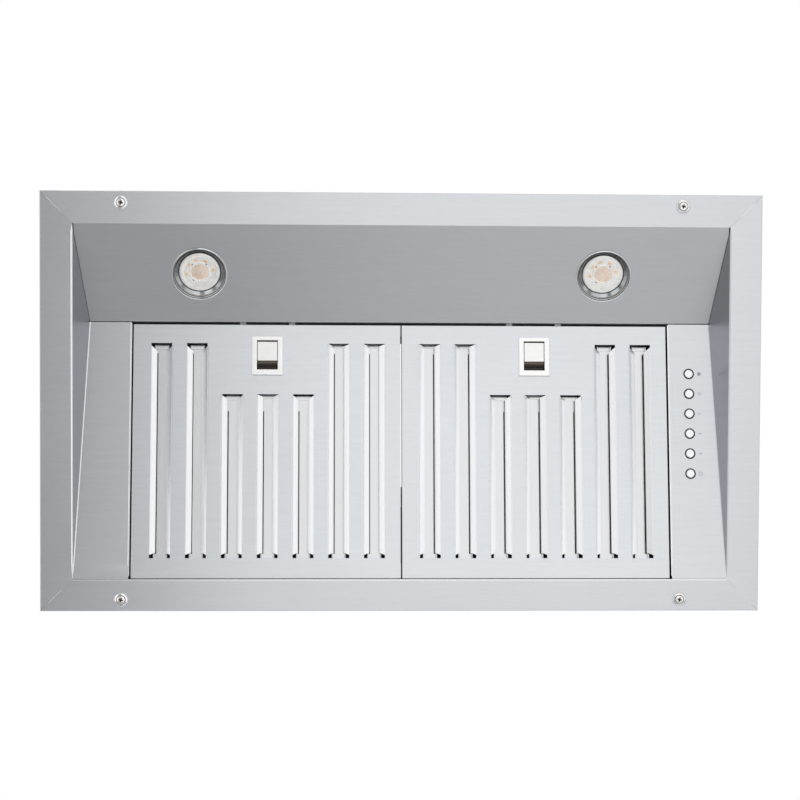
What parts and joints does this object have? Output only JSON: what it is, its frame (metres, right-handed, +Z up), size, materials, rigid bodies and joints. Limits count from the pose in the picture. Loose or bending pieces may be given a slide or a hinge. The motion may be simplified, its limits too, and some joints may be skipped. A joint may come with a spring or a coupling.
{
  "type": "range hood insert",
  "caption": "Built-in range hood insert: mitred steel rim, sloping lamp panel, latched baffle filters, push buttons, centrifugal blower and round duct collar with a butterfly damper.",
  "frame": {"origin": "centre of the rim, in the plane of its lower face", "axes": "+X the cook's right, along the rim's long side; +Y towards the wall; +Z up, into the cabinet"},
  "size_m": [0.724, 0.42, 0.3215],
  "materials": {
    "brushed_sheet": "brushed left to right",
    "galvanised": "galvanised sheet",
    "nickel": "satin plated",
    "chrome": "polished",
    "motor_paint": "satin black",
    "white_plastic": "matte",
    "black_plastic": "matte",
    "board": "solder mask",
    "capacitor_can": "drawn",
    "lens": "frosted lens"
  },
  "bodies": {
    "hood": {"front_panel": "brushed_sheet", "left_panel": "brushed_sheet", "right_panel": "brushed_sheet", "rear_panel": "brushed_sheet", "casing_front": "galvanised", "casing_rear": "galvanised", "casing_left": "galvanised", "casing_right": "galvanised", "casing_lid": "galvanised", "duct_collar": "galvanised", "scroll_housing": "galvanised", "inlet_ring_left": "galvanised", "inlet_ring_right": "galvanised", "wiring_box": "galvanised", "wiring_box_cover": "galvanised", "rim_screw_front_left": "nickel", "rim_screw_front_right": "nickel", "rim_screw_rear_left": "nickel", "rim_screw_rear_right": "nickel", "rim_washer_front_left": "nickel", "rim_washer_front_right": "nickel", "rim_washer_rear_left": "nickel", "rim_washer_rear_right": "nickel", "damper_rod": "nickel", "lamp_ring_left": "chrome", "lamp_ring_right": "chrome", "motor": "motor_paint", "motor_bracket": "motor_paint", "terminal_block": "white_plastic", "lamp_driver": "white_plastic", "lamp_socket_left": "white_plastic", "lamp_socket_right": "white_plastic", "cable_bush": "black_plastic", "switch_housing": "black_plastic", "wiring_loom": "black_plastic", "control_board": "board", "capacitor": "capacitor_can", "lamp_bulb_left": "lens", "lamp_bulb_right": "lens"},
    "filter_left": {"filter_face_left": "brushed_sheet", "filter_baffle_left": "brushed_sheet", "latch_bezel_left": "nickel", "latch_spring_left": "chrome"},
    "filter_right": {"filter_face_right": "brushed_sheet", "filter_baffle_right": "brushed_sheet", "latch_bezel_right": "nickel", "latch_spring_right": "chrome"},
    "latch_left": {"latch_slide_left": "nickel"},
    "latch_right": {"latch_slide_right": "nickel"},
    "button_1": {"button_1": "chrome"},
    "button_2": {"button_2": "chrome"},
    "button_3": {"button_3": "chrome"},
    "button_4": {"button_4": "chrome"},
    "button_5": {"button_5": "chrome"},
    "button_6": {"button_6": "chrome"},
    "impeller": {"impeller": "galvanised", "motor_shaft": "chrome"},
    "damper_front": {"damper_flap_front": "galvanised"},
    "damper_rear": {"damper_flap_rear": "galvanised"}
  },
  "joints": [
    {"name": "filter_left_swing", "type": "hinge", "parent": "hood", "child": "filter_left", "pos_m": [-0.13625, 0.1776, 0.001], "axis": [1, 0, 0], "range_deg": [0, 50]},
    {"name": "filter_right_swing", "type": "hinge", "parent": "hood", "child": "filter_right", "pos_m": [0.13625, 0.1776, 0.001], "axis": [1, 0, 0], "range_deg": [0, 50]},
    {"name": "latch_left_slide", "type": "slide", "parent": "filter_left", "child": "latch_left", "axis": [0, 0.9859, -0.1671], "range_m": [0, 0.006], "stiffness_N_per_m": 300, "springref_m": -0.005, "deforming": ["latch_spring_left"]},
    {"name": "latch_right_slide", "type": "slide", "parent": "filter_right", "child": "latch_right", "axis": [0, 0.9859, -0.1671], "range_m": [0, 0.006], "stiffness_N_per_m": 300, "springref_m": -0.005, "deforming": ["latch_spring_right"]},
    {"name": "button_1_press", "type": "slide", "parent": "hood", "child": "button_1", "axis": [0, 0.1671, 0.9859], "range_m": [0, 0.0015], "stiffness_N_per_m": 500, "springref_m": -0.002},
    {"name": "button_2_press", "type": "slide", "parent": "hood", "child": "button_2", "axis": [0, 0.1671, 0.9859], "range_m": [0, 0.0015], "stiffness_N_per_m": 500, "springref_m": -0.002},
    {"name": "button_3_press", "type": "slide", "parent": "hood", "child": "button_3", "axis": [0, 0.1671, 0.9859], "range_m": [0, 0.0015], "stiffness_N_per_m": 500, "springref_m": -0.002},
    {"name": "button_4_press", "type": "slide", "parent": "hood", "child": "button_4", "axis": [0, 0.1671, 0.9859], "range_m": [0, 0.0015], "stiffness_N_per_m": 500, "springref_m": -0.002},
    {"name": "button_5_press", "type": "slide", "parent": "hood", "child": "button_5", "axis": [0, 0.1671, 0.9859], "range_m": [0, 0.0015], "stiffness_N_per_m": 500, "springref_m": -0.002},
    {"name": "button_6_press", "type": "slide", "parent": "hood", "child": "button_6", "axis": [0, 0.1671, 0.9859], "range_m": [0, 0.0015], "stiffness_N_per_m": 500, "springref_m": -0.002},
    {"name": "impeller_spin", "type": "hinge", "parent": "hood", "child": "impeller", "pos_m": [0, -0.006, 0.172], "axis": [1, 0, 0], "continuous": true},
    {"name": "damper_front_swing", "type": "hinge", "parent": "hood", "child": "damper_front", "pos_m": [0, 0.06029, 0.2863], "axis": [-1, 0, 0], "range_deg": [0, 75]},
    {"name": "damper_rear_swing", "type": "hinge", "parent": "hood", "child": "damper_rear", "pos_m": [0, 0.06029, 0.2863], "axis": [1, 0, 0], "range_deg": [0, 75]}
  ]
}
